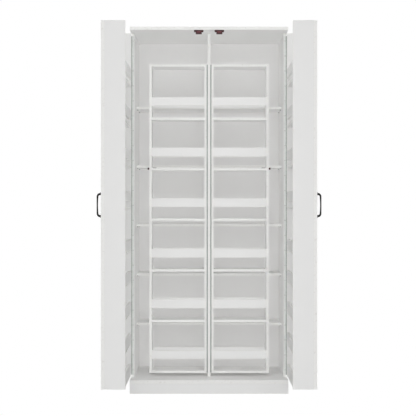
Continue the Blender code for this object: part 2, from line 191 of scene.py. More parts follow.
def eased_box(low, high, radius, rim=0.0, hairline=0.0):
    """(grid of points, grid of normals, the two axes of a ring's plane) of a box with rounded edges.
    Each ring is a rectangle with quarter-circle corners, square to the axis that the box is thinnest
    along. Going up the rings, the height follows a quarter circle, the wall, and a quarter circle
    again, with two more rings on either flat face where a rim and a hairline are wanted."""
    low, high = np.minimum(low, high), np.maximum(low, high)
    centre, half = (low + high) / 2, (high - low) / 2
    thin = int(np.argmin(half))
    along, across = (thin + 1) % 3, (thin + 2) % 3
    corner = max(radius, rim + hairline + FACE_CORNER) if rim else radius
    quarter = np.linspace(0, math.pi / 2, EASING_STEPS + 1)
    slope = quarter
    inset = radius * (1 - np.sin(slope))
    height = half[thin] - radius * (1 - np.cos(slope))
    if rim:
        inset = np.concatenate([[rim + hairline, rim], inset])
        height = np.concatenate([[half[thin]] * 2, height])
        slope = np.concatenate([[0, 0], slope])
    inset = np.concatenate([inset, inset[::-1]])[:, None]
    height = np.concatenate([-height, height[::-1]])[:, None]
    slope = np.concatenate([math.pi - slope, slope[::-1]])[:, None]
    turn = (quarter + np.arange(4)[:, None] * math.pi / 2).ravel()
    right = np.repeat([1, -1, -1, 1], EASING_STEPS + 1) * (half[along] - corner)
    up = np.repeat([1, 1, -1, -1], EASING_STEPS + 1) * (half[across] - corner)
    points = np.empty((len(inset), len(turn), 3))
    points[..., along] = centre[along] + right + (corner - inset) * np.cos(turn)
    points[..., across] = centre[across] + up + (corner - inset) * np.sin(turn)
    points[..., thin] = centre[thin] + height
    normals = np.empty_like(points)
    normals[..., along] = np.sin(slope) * np.cos(turn)
    normals[..., across] = np.sin(slope) * np.sin(turn)
    normals[..., thin] = np.cos(slope)
    return points, normals, (along, across)


LAMINATE_INK, BAND_INK, GLUE_INK, RAW_INK = range(4)


def board_inks(rows, axes, raw):
    """One ink for each quad of a board: a hairline of glue next to either face, the edge band over
    the rest, and bare chipboard on the sides named in raw, such as +y."""
    inks = np.full((rows - 1, 4 * (EASING_STEPS + 1)), BAND_INK)
    inks[[0, -1]] = GLUE_INK
    along, across = ("xyz"[axis] for axis in axes)
    walls = (f"+{across}", f"-{along}", f"-{across}", f"+{along}")
    for number, wall in enumerate(walls):
        if wall in raw:
            column = (number + 1) * (EASING_STEPS + 1) - 1
            inks[2:-2, column] = RAW_INK
            inks[[0, 1, -2, -1], column] = LAMINATE_INK
    return inks


def board(name, low, high, body, stands_for=(), raw=()):
    """A laminated board between two corners, with an edge band all round except on the raw sides."""
    points, normals, axes = eased_box(np.array(low), np.array(high), EASED, EDGING, GLUE_LINE)
    inks = board_inks(len(points), axes, raw)
    patch = shell(points, inks, LAMINATE_INK)
    finishes = (MELAMINE, EDGE_BAND, HOT_MELT, CHIPBOARD)
    piece(name, patch, finishes, body, stands_for, normals)


def node_board(node, body, raw=()):
    """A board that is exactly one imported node."""
    board(f"{node}_board", *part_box(node), body, (node,), raw)


def mirrored(sign, near, far):
    """(lower, higher) x on one side of the cabinet, from two distances to its middle plane."""
    return min(sign * near, sign * far), max(sign * near, sign * far)


# Screws, caps, nails and pins: one head is turned out of rings and copied to each place

FOOT = 0.3 * MM  # a head reaches this far into what it sits on
CROSS_REACH, CROSS_HALF_WIDTH = 0.56, 0.13  # of a cross recess, as shares of the head's radius


def circle(radius, height, angles):
    """Points on a level circle about the Z axis: radius times cosine, radius times sine, height."""
    flat = np.full_like(angles, height)
    return np.stack([radius * np.cos(angles), radius * np.sin(angles), flat], axis=-1)


def cross_outline(reach, half_width):
    """Twelve corners of a cross, anticlockwise: three for each quarter turn."""
    quarter = np.array([[reach, half_width], [half_width, half_width], [half_width, reach]])
    turns = [quarter @ np.array([[c, s], [-s, c]]) for c, s in ((1, 0), (0, 1), (-1, 0), (0, -1))]
    return np.concatenate(turns)


def driven_head(radius, dome):
    """A screw head with a cross recess. Its rings are turned out of a profile: rim, shoulder and
    dome. The last two are the cross: level with the dome's top, and sunk by half the dome's height
    and up to 0.6 mm more, where it is a fifth narrower."""
    cross = cross_outline(radius * CROSS_REACH, radius * CROSS_HALF_WIDTH)
    angles = np.unwrap(np.arctan2(cross[:, 1], cross[:, 0]))
    profile = ((1, -FOOT), (1, dome * 0.15), (0.86, dome * 0.62), (0.68, dome * 0.92))
    rings = [circle(radius * share, height, angles) for share, height in profile]
    sunk = dome * 0.5 - min(0.6 * MM, radius * 0.2)
    rings.append(np.column_stack([cross, np.full(len(cross), dome)]))
    rings.append(np.column_stack([cross * 0.8, np.full(len(cross), sunk)]))
    return np.stack(rings)


def plain_head(radius, dome):
    """A shallow button turned out of a profile: rim, rounded shoulder, and a dome that is flat in
    the middle."""
    angles = np.arange(CAP_SIDES) * math.tau / CAP_SIDES
    profile = ((1, -FOOT), (1, dome * 0.45), (0.95, dome * 0.8), (0.86, dome * 0.95), (0.5, dome))
    return np.stack([circle(radius * share, height, angles) for share, height in profile])


def heads(head, places, outwards):
    """Copies of a head, its foot at each place and its top facing outwards."""
    outwards = np.array(outwards, float)
    beside = np.cross(Z if abs(outwards[2]) < 0.5 else X, outwards)
    turned = head @ np.stack([beside, np.cross(outwards, beside), outwards])
    return joined([shell(turned + np.array(place)) for place in places])


# Materials. Each is named for what the real one is.


def srgb(code):
    """A hex sRGB colour as linear light."""
    channels = np.array([int(code[place : place + 2], 16) for place in (1, 3, 5)]) / 255
    linear = np.where(channels <= 0.04045, channels / 12.92, ((channels + 0.055) / 1.055) ** 2.4)
    return (*linear.tolist(), 1.0)


def add_node(tree, kind, settings=(), inputs=()):
    """Adds a node to a material. Its inputs are plain values, or other nodes' outputs to link."""
    node = tree.nodes.new(f"ShaderNode{kind}")
    for name, value in dict(settings).items():
        setattr(node, name, value)
    for key, value in dict(inputs).items():
        if isinstance(value, bpy.types.NodeSocket):
            tree.links.new(value, node.inputs[key])
        else:
            node.inputs[key].default_value = value
    return node


COLOURS = {"data_type": "RGBA"}
FACTOR, FIRST, SECOND, MIXED = 0, 6, 7, 2  # sockets of a Mix node that mixes colours


def start_material(name, **constants):
    """(material, its node tree, its shader, where a point lies in the frame)."""
    material = bpy.data.materials.new(name)
    material.use_nodes = True
    tree = material.node_tree
    shader = tree.nodes["Principled BSDF"]
    for key, value in constants.items():
        shader.inputs[key.replace("_", " ")].default_value = value
    return material, tree, shader, add_node(tree, "TexCoord").outputs["Object"]


def melamine_faced_chipboard():
    """Decor paper soaked in melamine resin, pressed on chipboard against a pearl-finish plate: an
    even matt white with a very fine pebble, and soft handling marks that change only the gloss."""
    material, tree, shader, place = start_material("melamine_faced_chipboard", IOR=1.5)
    cloud_inputs = {"Vector": place, "Scale": 7.0, "Detail": 3.0}
    cloud = add_node(tree, "TexNoise", inputs=cloud_inputs)
    paper_inputs = {FACTOR: cloud.outputs["Fac"], FIRST: srgb("#efefee"), SECOND: srgb("#f2f2f1")}
    paper = add_node(tree, "Mix", COLOURS, paper_inputs).outputs[MIXED]
    fleck_inputs = {"Vector": place, "Scale": 420.0, "Detail": 1.0}
    fleck = add_node(tree, "TexNoise", inputs=fleck_inputs)
    faint_inputs = {"Value": fleck.outputs["Fac"], "From Min": 0.3, "From Max": 0.7, "To Max": 0.25}
    faint = add_node(tree, "MapRange", inputs=faint_inputs)
    colour_inputs = {FACTOR: faint.outputs["Result"], FIRST: paper, SECOND: srgb("#ecebeb")}
    colour = add_node(tree, "Mix", COLOURS, colour_inputs).outputs[MIXED]
    tree.links.new(colour, shader.inputs["Base Color"])
    gloss_inputs = {"Value": cloud.outputs["Fac"], "To Min": 0.42, "To Max": 0.55}
    gloss = add_node(tree, "MapRange", inputs=gloss_inputs)
    tree.links.new(gloss.outputs["Result"], shader.inputs["Roughness"])
    # The real pebble is about 0.4 mm; it is drawn at 1.5 mm so that it shows.
    pebble = add_node(tree, "TexVoronoi", {"feature": "SMOOTH_F1"}, {"Vector": place, "Scale": 660.0})
    bump_inputs = {"Height": pebble.outputs["Distance"], "Strength": 0.25, "Distance": 0.05 * MM}
    bump = add_node(tree, "Bump", inputs=bump_inputs)
    tree.links.new(bump.outputs["Normal"], shader.inputs["Normal"])
    return material


def abs_edge_band():
    """ABS strip, extruded and buffed after trimming: a touch warmer and glossier than the laminate,
    with tiny scuffs where things have slid over the edge."""
    material, tree, shader, place = start_material("abs_edge_band", IOR=1.52)
    scuff = add_node(tree, "TexNoise", inputs={"Vector": place, "Scale": 95.0, "Detail": 4.0})
    worn_inputs = {"Value": scuff.outputs["Fac"], "From Min": 0.58, "From Max": 0.72}
    worn = add_node(tree, "MapRange", inputs=worn_inputs)
    colour_inputs = {FACTOR: worn.outputs["Result"], FIRST: srgb("#f4f4f2"), SECOND: srgb("#eae9e6")}
    colour = add_node(tree, "Mix", COLOURS, colour_inputs).outputs[MIXED]
    tree.links.new(colour, shader.inputs["Base Color"])
    gloss_inputs = {"Value": worn.outputs["Result"], "To Min": 0.34, "To Max": 0.6}
    gloss = add_node(tree, "MapRange", inputs=gloss_inputs)
    tree.links.new(gloss.outputs["Result"], shader.inputs["Roughness"])
    buffed = add_node(tree, "TexNoise", inputs={"Vector": place, "Scale": 800.0, "Detail": 2.0})
    bump_inputs = {"Height": buffed.outputs["Fac"], "Strength": 0.2, "Distance": 0.03 * MM}
    bump = add_node(tree, "Bump", inputs=bump_inputs)
    tree.links.new(bump.outputs["Normal"], shader.inputs["Normal"])
    return material


def hot_melt_glue_line():
    """EVA glue squeezed out between band and laminate: a grey hairline, broken here and there."""
    material, tree, shader, place = start_material("hot_melt_glue_line", IOR=1.48, Roughness=0.6)
    squeeze = add_node(tree, "TexNoise", inputs={"Vector": place, "Scale": 60.0, "Detail": 3.0})
    colour_inputs = {FACTOR: squeeze.outputs["Fac"], FIRST: srgb("#eae8e2"), SECOND: srgb("#c5c2b9")}
    colour = add_node(tree, "Mix", COLOURS, colour_inputs).outputs[MIXED]
    tree.links.new(colour, shader.inputs["Base Color"])
    return material


def raw_chipboard():
    """Sawn particle board: flakes of pine 1 to 4 mm long in brown glue, with pores between them."""
    material, tree, shader, place = start_material("raw_chipboard", Roughness=0.9, IOR=1.4)
    flake = add_node(tree, "TexVoronoi", inputs={"Vector": place, "Scale": 420.0})
    tone = add_node(tree, "SeparateColor", inputs={"Color": flake.outputs["Color"]})
    wood_inputs = {FACTOR: tone.outputs["Red"], FIRST: srgb("#a5835a"), SECOND: srgb("#d3b98f")}
    wood = add_node(tree, "Mix", COLOURS, wood_inputs).outputs[MIXED]
    pore_inputs = {"Value": flake.outputs["Distance"], "From Min": 0.5, "From Max": 0.9}
    pore = add_node(tree, "MapRange", inputs=pore_inputs)
    colour_inputs = {FACTOR: pore.outputs["Result"], FIRST: wood, SECOND: srgb("#6b5236")}
    colour = add_node(tree, "Mix", COLOURS, colour_inputs).outputs[MIXED]
    tree.links.new(colour, shader.inputs["Base Color"])
    bump_inputs = {"Height": flake.outputs["Distance"], "Strength": 0.5, "Distance": -0.3 * MM}
    bump = add_node(tree, "Bump", inputs=bump_inputs)
    tree.links.new(bump.outputs["Normal"], shader.inputs["Normal"])
    return material


def lacquered_hardboard():
    """Smooth face of a hardboard sheet, roller-lacquered white: duller than the boards, with a
    slight stipple from the roller."""
    material, tree, shader, place = start_material("lacquered_hardboard", IOR=1.48)
    cloud = add_node(tree, "TexNoise", inputs={"Vector": place, "Scale": 5.0, "Detail": 4.0})
    colour_inputs = {FACTOR: cloud.outputs["Fac"], FIRST: srgb("#ecebeb"), SECOND: srgb("#f0f0ef")}
    colour = add_node(tree, "Mix", COLOURS, colour_inputs).outputs[MIXED]
    tree.links.new(colour, shader.inputs["Base Color"])
    gloss_inputs = {"Value": cloud.outputs["Fac"], "To Min": 0.5, "To Max": 0.66}
    gloss = add_node(tree, "MapRange", inputs=gloss_inputs)
    tree.links.new(gloss.outputs["Result"], shader.inputs["Roughness"])
    stipple = add_node(tree, "TexNoise", inputs={"Vector": place, "Scale": 380.0, "Detail": 3.0})
    bump_inputs = {"Height": stipple.outputs["Fac"], "Strength": 0.3, "Distance": 0.08 * MM}
    bump = add_node(tree, "Bump", inputs=bump_inputs)
    tree.links.new(bump.outputs["Normal"], shader.inputs["Normal"])
    return material


def bare_hardboard():
    """Rough face of a hardboard sheet: brown pressed fibre with the weave of the wire screen that it
    was pressed on. The real weave is 1.2 mm; it is drawn at 3 mm so that it shows."""
    material, tree, shader, place = start_material("bare_hardboard", Roughness=0.85, IOR=1.4)
    fibre = add_node(tree, "TexNoise", inputs={"Vector": place, "Scale": 160.0, "Detail": 6.0})
    cloud = add_node(tree, "TexNoise", inputs={"Vector": place, "Scale": 4.0, "Detail": 3.0})
    brown_inputs = {FACTOR: fibre.outputs["Fac"], FIRST: srgb("#6f4d30"), SECOND: srgb("#9a7148")}
    brown = add_node(tree, "Mix", COLOURS, brown_inputs).outputs[MIXED]
    aged_inputs = {FACTOR: 0.25, FIRST: brown, SECOND: srgb("#54391f")}
    aged = add_node(tree, "Mix", COLOURS, aged_inputs).outputs[MIXED]
    colour_inputs = {FACTOR: cloud.outputs["Fac"], FIRST: brown, SECOND: aged}
    colour = add_node(tree, "Mix", COLOURS, colour_inputs).outputs[MIXED]
    threads = []
    for direction in ("X", "Z"):
        wave_settings = {"wave_type": "BANDS", "bands_direction": direction}
        wave = add_node(tree, "TexWave", wave_settings, {"Vector": place, "Scale": 105.0})
        threads.append(wave.outputs["Fac"])
    weave = add_node(tree, "Math", {"operation": "MULTIPLY"}, dict(enumerate(threads)))
    dark_inputs = {"Value": weave.outputs["Value"], "To Min": 0.3, "To Max": 0.0}
    dark = add_node(tree, "MapRange", inputs=dark_inputs)
    shaded_inputs = {FACTOR: dark.outputs["Result"], FIRST: colour, SECOND: srgb("#3f2a18")}
    shaded = add_node(tree, "Mix", COLOURS, shaded_inputs).outputs[MIXED]
    tree.links.new(shaded, shader.inputs["Base Color"])
    bump_inputs = {"Height": weave.outputs["Value"], "Strength": 0.6, "Distance": 0.25 * MM}
    bump = add_node(tree, "Bump", inputs=bump_inputs)
    tree.links.new(bump.outputs["Normal"], shader.inputs["Normal"])
    return material


def sheet_metal(name, light, dark, roughness, metallic=1.0):
    """Rolled steel strip: fine lines along its length, and a cloudy plating over them."""
    material, tree, shader, place = start_material(name, Metallic=metallic)
    cloud = add_node(tree, "TexNoise", inputs={"Vector": place, "Scale": 55.0, "Detail": 3.0})
    colour_inputs = {FACTOR: cloud.outputs["Fac"], FIRST: srgb(light), SECOND: srgb(dark)}
    colour = add_node(tree, "Mix", COLOURS, colour_inputs).outputs[MIXED]
    tree.links.new(colour, shader.inputs["Base Color"])
    stretched = add_node(tree, "Mapping", inputs={"Vector": place, "Scale": (1.0, 1.0, 0.02)})
    lines = add_node(tree, "TexNoise", inputs={"Vector": stretched.outputs["Vector"], "Scale": 2600.0})
    low, high = roughness
    gloss_inputs = {"Value": lines.outputs["Fac"], "To Min": low, "To Max": high}
    gloss = add_node(tree, "MapRange", inputs=gloss_inputs)
    tree.links.new(gloss.outputs["Result"], shader.inputs["Roughness"])
    bump_inputs = {"Height": lines.outputs["Fac"], "Strength": 0.15, "Distance": 0.02 * MM}
    bump = add_node(tree, "Bump", inputs=bump_inputs)
    tree.links.new(bump.outputs["Normal"], shader.inputs["Normal"])
    return material


def knuckle_steel_with_painted_shade():
    """The same strip where it is rolled into knuckles, left bare so that it mirrors the room; its darker
    colour is painted shade, standing for the shadow in the gap between the door and the cabinet's side."""
    return sheet_metal("knuckle_steel_painted_gap_shade", "#9da29f", "#7f8581", (0.3, 0.42))


def zinc_plated_steel():
    """Mild steel strip, zinc plated and chromated: the milky chromate film scatters most of the
    light, so it is a dull pale grey with a faint green cast."""
    return sheet_metal("zinc_plated_steel", "#eceeec", "#e0e4e1", (0.42, 0.58), 0.2)


def bright_steel():
    """Bare cold-rolled steel of strikes, screws, hinge pins, shelf pins and nails."""
    return sheet_metal("bright_cold_rolled_steel", "#cfcfce", "#b3b3b2", (0.22, 0.38))


def blued_steel():
    """Pole plates and screws of the catches, heat-blued against rust: dark brown-grey steel."""
    return sheet_metal("blued_steel", "#352728", "#251b1c", (0.4, 0.55))


def black_powder_coat():
    """Polyester powder baked on to die-cast zinc: satin black with a fine orange peel, and rubbed
    a little smoother where fingers have polished it."""
    material, tree, shader, place = start_material("black_powder_coat", IOR=1.4)
    rubbed = add_node(tree, "TexNoise", inputs={"Vector": place, "Scale": 40.0, "Detail": 2.0})
    colour_inputs = {FACTOR: rubbed.outputs["Fac"], FIRST: srgb("#030303"), SECOND: srgb("#070707")}
    colour = add_node(tree, "Mix", COLOURS, colour_inputs).outputs[MIXED]
    tree.links.new(colour, shader.inputs["Base Color"])
    gloss_inputs = {"Value": rubbed.outputs["Fac"], "To Min": 0.5, "To Max": 0.66}
    gloss = add_node(tree, "MapRange", inputs=gloss_inputs)
    tree.links.new(gloss.outputs["Result"], shader.inputs["Roughness"])
    peel = add_node(tree, "TexNoise", inputs={"Vector": place, "Scale": 900.0, "Detail": 1.0})
    bump_inputs = {"Height": peel.outputs["Fac"], "Strength": 0.35, "Distance": 0.06 * MM}
    bump = add_node(tree, "Bump", inputs=bump_inputs)
    tree.links.new(bump.outputs["Normal"], shader.inputs["Normal"])
    return material


def brown_polypropylene():
    """Injection-moulded polypropylene: dark reddish brown, a spark-eroded grain and paler flow
    marks."""
    material, tree, shader, place = start_material("brown_polypropylene", IOR=1.49)
    flow = add_node(tree, "TexNoise", inputs={"Vector": place, "Scale": 130.0, "Detail": 3.0})
    colour_inputs = {FACTOR: flow.outputs["Fac"], FIRST: srgb("#3c1a1d"), SECOND: srgb("#532a2d")}
    colour = add_node(tree, "Mix", COLOURS, colour_inputs).outputs[MIXED]
    tree.links.new(colour, shader.inputs["Base Color"])
    gloss_inputs = {"Value": flow.outputs["Fac"], "To Min": 0.38, "To Max": 0.55}
    gloss = add_node(tree, "MapRange", inputs=gloss_inputs)
    tree.links.new(gloss.outputs["Result"], shader.inputs["Roughness"])
    grain = add_node(tree, "TexNoise", inputs={"Vector": place, "Scale": 1500.0, "Detail": 2.0})
    bump_inputs = {"Height": grain.outputs["Fac"], "Strength": 0.3, "Distance": 0.05 * MM}
    bump = add_node(tree, "Bump", inputs=bump_inputs)
    tree.links.new(bump.outputs["Normal"], shader.inputs["Normal"])
    return material


def white_polyethylene():
    """Pushed-in cover caps: soft white plastic, slightly see-through and a little warmer."""
    material, tree, shader, place = start_material("white_polyethylene", IOR=1.51)
    cloud = add_node(tree, "TexNoise", inputs={"Vector": place, "Scale": 220.0, "Detail": 2.0})
    colour_inputs = {FACTOR: cloud.outputs["Fac"], FIRST: srgb("#e8e8e3"), SECOND: srgb("#efefea")}
    colour = add_node(tree, "Mix", COLOURS, colour_inputs).outputs[MIXED]
    tree.links.new(colour, shader.inputs["Base Color"])
    gloss_inputs = {"Value": cloud.outputs["Fac"], "To Min": 0.3, "To Max": 0.42}
    gloss = add_node(tree, "MapRange", inputs=gloss_inputs)
    tree.links.new(gloss.outputs["Result"], shader.inputs["Roughness"])
    shader.inputs["Subsurface Weight"].default_value = 0.1
    shader.inputs["Subsurface Radius"].default_value = (1 * MM, 1 * MM, 1 * MM)
    return material


def ferrite():
    """Pressed and fired magnet block with iron oxide on its face: dull red-brown, slightly gritty."""
    material, tree, shader, place = start_material("fired_ferrite", Roughness=0.7, IOR=1.6)
    grit = add_node(tree, "TexNoise", inputs={"Vector": place, "Scale": 1200.0, "Detail": 3.0})
    colour_inputs = {FACTOR: grit.outputs["Fac"], FIRST: srgb("#6a3a3e"), SECOND: srgb("#804e51")}
    colour = add_node(tree, "Mix", COLOURS, colour_inputs).outputs[MIXED]
    tree.links.new(colour, shader.inputs["Base Color"])
    bump_inputs = {"Height": grit.outputs["Fac"], "Strength": 0.4, "Distance": 0.05 * MM}
    bump = add_node(tree, "Bump", inputs=bump_inputs)
    tree.links.new(bump.outputs["Normal"], shader.inputs["Normal"])
    return material


MELAMINE = melamine_faced_chipboard()
EDGE_BAND = abs_edge_band()
HOT_MELT = hot_melt_glue_line()
CHIPBOARD = raw_chipboard()
LACQUER = lacquered_hardboard()
HARDBOARD = bare_hardboard()
ZINC = zinc_plated_steel()
# The knuckles' darker steel is painted shade for the gap between the door and the cabinet's side.
KNUCKLE_STEEL_PAINTED_SHADE = knuckle_steel_with_painted_shade()
STEEL = bright_steel()
BLUED = blued_steel()
POWDER_COAT = black_powder_coat()
CATCH_PLASTIC = brown_polypropylene()
CAP_PLASTIC = white_polyethylene()
FERRITE = ferrite()


# Carcass


def carcass():
    """The fixed boards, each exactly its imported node, with bare chipboard where no edge band shows."""
    rear_edge = ("+y",)
    for node in ("top_panel", "bottom_panel", "left_side", "right_side", "centre_partition"):
        node_board(node, "cabinet", rear_edge)
    for node in ("plinth_front", "plinth_rear", "plinth_left", "plinth_right"):
        node_board(node, "cabinet", ("-z",))
    for name, _ in SIDES:
        for number in FIXED_SHELVES:
            node_board(f"{name}_shelf_{number}", "cabinet", rear_edge)


def back_sheet():
    """One hardboard sheet. Its rings go from front to rear: its front face and the rounding behind
    it are lacquered, and the rest is bare."""
    lacquered, bare = 0, 1
    points, normals, _ = eased_box(*map(np.array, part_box("back_panel")), SHEET_EASING)
    quads = np.full((len(points) - 1, points.shape[1]), bare)
    quads[:EASING_STEPS] = lacquered
    sheet, faces, inks = shell(points, quads, bare)
    inks[-2] = lacquered
    finishes = (LACQUER, HARDBOARD)
    patch = (sheet, faces, inks)
    piece("back_panel_sheet", patch, finishes, "cabinet", ("back_panel",), normals)


def back_nails():
    """Nails round the sheet's edge, down the partition and along the shelves, one every 120 mm or
    so."""
    low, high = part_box("back_panel")
    columns = round((high.x - low.x) / NAIL_PITCH) + 1
    rows = round((high.z - low.z) / NAIL_PITCH) + 1
    across = np.linspace(low.x + NAIL_INSET, high.x - NAIL_INSET, columns)
    upwards = np.linspace(low.z + NAIL_INSET, high.z - NAIL_INSET, rows)
    places = [(x, high.y, z) for z in (upwards[0], upwards[-1]) for x in across]
    places += [(x, high.y, z) for x in (across[0], 0.0, across[-1]) for z in upwards[1:-1]]
    shelf_heights = [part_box(f"left_shelf_{number}")[0].z + BOARD / 2 for number in FIXED_SHELVES]
    clear = [x for x in across[1:-1] if abs(x) > 10 * MM]  # of the partition's own row
    places += [(x, high.y, z) for z in shelf_heights for x in clear]
    patch = heads(plain_head(*NAIL), places, Y)
    piece("back_panel_nails", patch, (STEEL,), "cabinet")


def cover_caps():
    """Caps over the screws that hold the shelves and the panels: on the outside of either side, and
    on the top. The two on each board are 40 mm in from its front and its rear."""
    for name, sign in SIDES:
        side_low, side_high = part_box(f"{name}_side")
        outside = side_high.x if sign > 0 else side_low.x
        places = []
        for number in FIXED_SHELVES:
            low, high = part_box(f"{name}_shelf_{number}")
            depths = (low.y + CAP_INSET, high.y - CAP_INSET)
            places += [(outside, depth, (low.z + high.z) / 2) for depth in depths]
        patch = heads(plain_head(*CAP), places, sign * X)
        piece(f"{name}_side_cover_caps", patch, (CAP_PLASTIC,), "cabinet")
    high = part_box("top_panel")[1]
    depths = (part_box("left_side")[0].y + CAP_INSET, high.y - CAP_INSET)
    places = []
    for node in ("left_side", "centre_partition", "right_side"):
        left, right = (corner.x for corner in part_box(node))
        places += [((left + right) / 2, depth, high.z) for depth in depths]
    patch = heads(plain_head(*CAP), places, Z)
    piece("top_cover_caps", patch, (CAP_PLASTIC,), "cabinet")


def shelf_pins():
    """Four steel pins under each fixed shelf, two in either wall and 30 mm in from its front and
    its rear: a stem 8 mm long with a chamfered end, turned out of three rings."""
    angles = np.arange(SHELF_PIN_SIDES) * math.tau / SHELF_PIN_SIDES
    rings = [circle(SHELF_PIN_RADIUS, -FOOT, angles)]
    rings.append(circle(SHELF_PIN_RADIUS, SHELF_PIN_LENGTH - SHELF_PIN_CHAMFER, angles))
    rings.append(circle(SHELF_PIN_RADIUS - SHELF_PIN_CHAMFER, SHELF_PIN_LENGTH, angles))
    pin = np.stack(rings)
    middle_low, middle_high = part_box("centre_partition")
    for name, sign in SIDES:
        side_low, side_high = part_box(f"{name}_side")
        if sign < 0:
            walls = ((side_high.x, X), (middle_low.x, -X))
        else:
            walls = ((side_low.x, -X), (middle_high.x, X))
        patches = []
        for number in FIXED_SHELVES:
            low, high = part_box(f"{name}_shelf_{number}")
            depths = (low.y + SHELF_PIN_INSET, high.y - SHELF_PIN_INSET)
            height = low.z - SHELF_PIN_RADIUS - GAP
            for wall, inwards in walls:
                places = [(wall, depth, height) for depth in depths]
                patches.append(heads(pin, places, inwards))
        piece(f"{name}_shelf_pins", joined(patches), (STEEL,), "cabinet")


# Door boxes


def door_tiers():
    """(board's centre, its rail's lower edge), from the bottom board up."""
    tiers = []
    for count in range(DOOR_LOW_BOARDS):
        centre = DOOR_LOW_CENTRE + DOOR_LOW_PITCH * count
        tiers.append((centre, centre + BOARD / 2 + GAP))
    for count in range(DOOR_HIGH_SHELVES):
        centre = DOOR_HIGH_CENTRE + DOOR_HIGH_PITCH * count
        tiers.append((centre, centre + DOOR_RAIL_LIFT))
    return tiers


def door(name, sign):
    """A door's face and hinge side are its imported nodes. The free side, the shelves and the rails
    share one node, and are laid out inside its box."""
    body = f"{name}_door"
    node_board(f"{body}_face", body)
    node_board(f"{body}_hinge_side", body)
    low, high = (np.array(corner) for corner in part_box(f"{body}_shelf_frame"))
    inner, outer = sorted((abs(low[0]), abs(high[0])))
    hinge_side_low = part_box(f"{body}_hinge_side")[0].y
    ends = (low[1] + BOARD + GAP, hinge_side_low - GAP)
    x = mirrored(sign, inner, outer)
    free_low, free_high = (x[0], low[1], low[2]), (x[1], low[1] + BOARD, high[2])
    board(f"{body}_free_side", free_low, free_high, body, (f"{body}_shelf_frame",))
    for number, (centre, rail) in enumerate(door_tiers()):
        x = mirrored(sign, inner + 2 * RAIL_SETBACK, outer - GAP)
        label = f"{body}_shelf_{number}" if number else f"{body}_bottom"
        shelf_low = (x[0], ends[0], centre - BOARD / 2)
        board(label, shelf_low, (x[1], ends[1], centre + BOARD / 2), body)
        x = mirrored(sign, inner + RAIL_SETBACK, inner + RAIL_SETBACK + BOARD)
        rail_low = (x[0], ends[0], rail)
        rail_high = (x[1], ends[1], rail + DOOR_RAIL_HEIGHT)
        board(f"{body}_rail_{number}", rail_low, rail_high, body)


# Handles

HANDLE_RADIUS = 3.0 * MM
HANDLE_HALF_SPACING = 56 * MM  # middle of the grip to the middle of a foot
HANDLE_BEND = 12 * MM
HANDLE_LEAN = 3 * MM  # each leg leans in by this much towards the grip
HANDLE_SIDES = 24
LEG_POINTS, BEND_POINTS, GRIP_POINTS = 10, 10, 6  # along the line of half a bow
GRIP_THICKNESS = 1.1  # at the grip's middle, as a share of the radius
LEG_SWELL = 0.65  # added at the height of the feet
FOOT_FLARE = 1.3  # added at the door
FLARE_REACH = 3.6 * MM  # a third of the flare is left at this distance from the door


def handle_line(reach):
    """(distance from the door, height, thickness) along a bow. A leg leans in along a parabola, a
    quarter circle turns it into the grip, and the lower half mirrors the upper. Thickness is a share
    of the radius: it grows with the square of the height, and an exponential flares it at the door.
    The line moves in as the bar thickens, so that its outside stays in place."""
    leg = np.linspace(0, 1, LEG_POINTS)
    leg_out = leg * (reach - HANDLE_BEND)
    leg_height = HANDLE_HALF_SPACING - HANDLE_LEAN * (1 - (1 - leg) ** 2)
    turn = np.linspace(0, math.pi / 2, BEND_POINTS)[1:]
    bend_out = reach - HANDLE_BEND * (1 - np.sin(turn))
    bend_height = HANDLE_HALF_SPACING - HANDLE_LEAN - HANDLE_BEND * (1 - np.cos(turn))
    grip_height = np.linspace(bend_height[-1], 0, GRIP_POINTS)[1:]
    out = np.concatenate([leg_out, bend_out, np.full_like(grip_height, reach)])
    height = np.concatenate([leg_height, bend_height, grip_height])
    swell = LEG_SWELL * (height / HANDLE_HALF_SPACING) ** 2
    thickness = GRIP_THICKNESS + swell + FOOT_FLARE * np.exp(-out / FLARE_REACH)
    out = out - HANDLE_RADIUS * (thickness - 1) * out / reach
    upper = np.stack([out, height, thickness], axis=-1)
    return np.concatenate([upper, upper[-2::-1] * (1, -1, 1)])


def handle(name, sign):
    """A round bar carried along the bow's line and turned with it, and its two screws inside."""
    node, body = f"{name}_door_handle", f"{name}_door"
    low, high = (np.array(corner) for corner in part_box(node))
    inside, outside = sorted((corner.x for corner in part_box(f"{name}_door_face")), key=abs)
    reach = max(abs(low[0]), abs(high[0])) - abs(outside) - HANDLE_RADIUS
    line = handle_line(reach)
    step = np.gradient(line[:, :2], axis=0)
    step /= np.linalg.norm(step, axis=1)[:, None]
    centre = np.array([outside, (low[1] + high[1]) / 2, (low[2] + high[2]) / 2])
    outwards = sign * X
    middle = centre + line[:, :1] * outwards + line[:, 1:2] * Z
    beside = step[:, 1:] * outwards - step[:, :1] * Z
    angles = np.arange(HANDLE_SIDES) * math.tau / HANDLE_SIDES
    ring = np.cos(angles)[:, None] * beside[:, None] + sign * np.sin(angles)[:, None] * Y
    grid = middle[:, None] + ring * (HANDLE_RADIUS * line[:, 2])[:, None, None]
    piece(f"{node}_bow", shell(grid), (POWDER_COAT,), body, (node,))
    places = [(inside, centre[1], centre[2] + end * HANDLE_HALF_SPACING) for end in (-1, 1)]
    patch = heads(driven_head(*HANDLE_SCREW), places, -outwards)
    piece(f"{node}_screws", patch, (STEEL,), body)


# Racks


